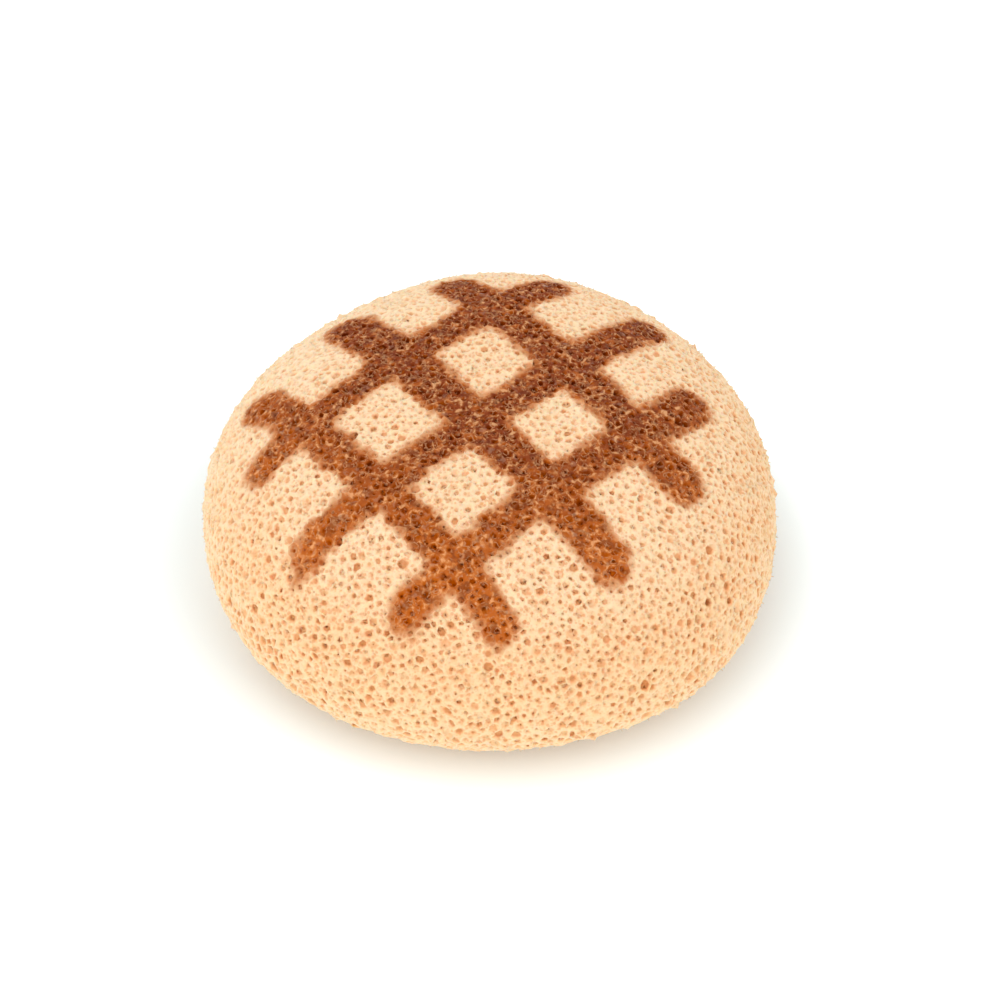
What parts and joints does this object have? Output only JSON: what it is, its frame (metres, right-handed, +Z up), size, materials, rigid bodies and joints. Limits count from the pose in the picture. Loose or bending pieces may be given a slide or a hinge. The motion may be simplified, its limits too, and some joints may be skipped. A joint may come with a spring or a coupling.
{
  "type": "foam sponge in the form of a pineapple bun",
  "caption": "Round kitchen sponge of soft open-cell foam, moulded as a domed pineapple bun with a brown lattice printed on its crown; rests on a flat foot.",
  "frame": {"origin": "middle of the bun's box at the level of the surface that it rests on", "axes": "+Z up through the crown, -Y towards the side that the picture shows in front, +X to that view's right"},
  "size_m": [0.1048, 0.1052, 0.047],
  "materials": {
    "foam": "matt open-cell polyurethane foam, pale peach-cream, with a brown lattice dyed into the crown"
  },
  "bodies": {
    "root": {"foam_bun": "foam"}
  },
  "joints": []
}
